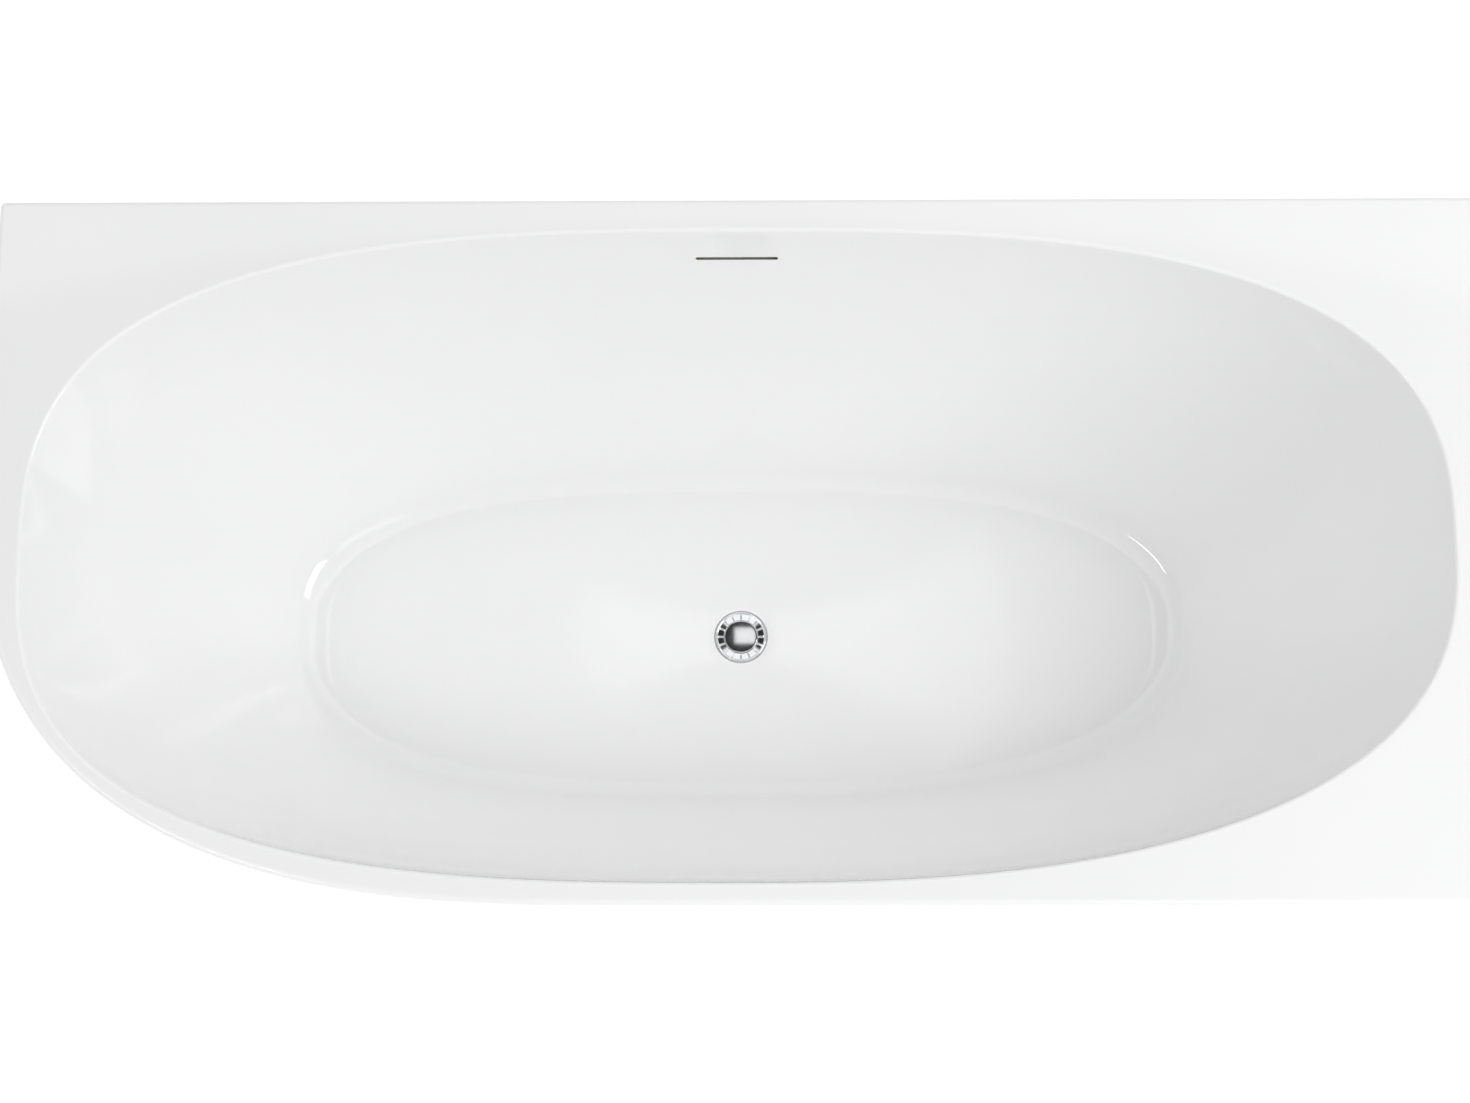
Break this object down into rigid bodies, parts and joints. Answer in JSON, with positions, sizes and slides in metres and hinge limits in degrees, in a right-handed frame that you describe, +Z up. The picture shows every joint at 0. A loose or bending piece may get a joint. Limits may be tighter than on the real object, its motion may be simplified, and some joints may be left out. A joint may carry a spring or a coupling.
{
  "type": "corner bathtub",
  "caption": "White acrylic bathtub for a right-hand corner, with an oval basin, leaning skirt, push plug, slot overflow, steel cradle, levelling feet and trap.",
  "frame": {"origin": "centre of the outer box at floor level, under the feet", "axes": "+X along the length towards the wall at the right end, +Y towards the back wall, +Z up"},
  "size_m": [1.7, 0.8, 0.58],
  "materials": {
    "acrylic": "glossy white sanitary acrylic",
    "board_wood": "resin-sealed particle board",
    "block_wood": "planed softwood",
    "frame_steel": "dark grey powder coat",
    "zinc_steel": "bright zinc plating",
    "pad_plastic": "moulded black polyamide",
    "black_plastic": "moulded black plastic",
    "grey_plastic": "moulded grey plastic",
    "white_plastic": "moulded white polypropylene",
    "hose_plastic": "corrugated light grey polyethylene",
    "rubber": "soft black rubber",
    "chrome": "polished chrome",
    "brass": "turned brass"
  },
  "bodies": {
    "tub": {"tub_shell": "acrylic", "skirt": "acrylic", "base_board": "board_wood", "deck_blocks": "block_wood", "left_rail": "frame_steel", "inner_left_rail": "frame_steel", "inner_right_rail": "frame_steel", "right_rail": "frame_steel", "left_post": "frame_steel", "right_post": "frame_steel", "left_wall_bracket": "zinc_steel", "right_wall_bracket": "zinc_steel", "skirt_brackets": "zinc_steel", "rail_caps": "black_plastic", "rail_screws": "zinc_steel", "post_screws": "zinc_steel", "weld_nuts": "zinc_steel", "lock_nuts": "zinc_steel", "waste_flange": "chrome", "flange_seal": "rubber", "waste_body": "grey_plastic", "body_seal": "rubber", "plug_cartridge": "grey_plastic", "overflow_gasket": "rubber", "overflow_box": "grey_plastic", "overflow_hose": "hose_plastic", "upper_hose_nut": "black_plastic", "lower_hose_nut": "black_plastic"},
    "foot_front_left": {"front_left_stud": "zinc_steel", "front_left_pad": "pad_plastic"},
    "foot_back_left": {"back_left_stud": "zinc_steel", "back_left_pad": "pad_plastic"},
    "foot_middle_left": {"middle_left_stud": "zinc_steel", "middle_left_pad": "pad_plastic"},
    "foot_middle_right": {"middle_right_stud": "zinc_steel", "middle_right_pad": "pad_plastic"},
    "foot_front_right": {"front_right_stud": "zinc_steel", "front_right_pad": "pad_plastic"},
    "foot_back_right": {"back_right_stud": "zinc_steel", "back_right_pad": "pad_plastic"},
    "plug": {"plug_cap": "chrome", "plug_seal": "rubber", "plug_stem": "brass"},
    "trap": {"trap_bowl": "white_plastic", "trap_nut": "black_plastic", "trap_seal": "rubber", "trap_arm": "white_plastic", "trap_arm_nut": "black_plastic", "trap_cap": "black_plastic"}
  },
  "joints": [
    {"name": "front_left_foot_slide", "type": "slide", "parent": "tub", "child": "foot_front_left", "axis": [0, 0, -1], "range_m": [-0.008, 0.012]},
    {"name": "back_left_foot_slide", "type": "slide", "parent": "tub", "child": "foot_back_left", "axis": [0, 0, -1], "range_m": [-0.008, 0.012]},
    {"name": "middle_left_foot_slide", "type": "slide", "parent": "tub", "child": "foot_middle_left", "axis": [0, 0, -1], "range_m": [-0.008, 0.012]},
    {"name": "middle_right_foot_slide", "type": "slide", "parent": "tub", "child": "foot_middle_right", "axis": [0, 0, -1], "range_m": [-0.008, 0.012]},
    {"name": "front_right_foot_slide", "type": "slide", "parent": "tub", "child": "foot_front_right", "axis": [0, 0, -1], "range_m": [-0.008, 0.012]},
    {"name": "back_right_foot_slide", "type": "slide", "parent": "tub", "child": "foot_back_right", "axis": [0, 0, -1], "range_m": [-0.008, 0.012]},
    {"name": "plug_slide", "type": "slide", "parent": "tub", "child": "plug", "axis": [0, 0, 1], "range_m": [0, 0.009]},
    {"name": "trap_swivel", "type": "hinge", "parent": "tub", "child": "trap", "pos_m": [-0.018, -0.007, 0.07], "axis": [0, 0, 1], "range_deg": [-20, 20]}
  ]
}
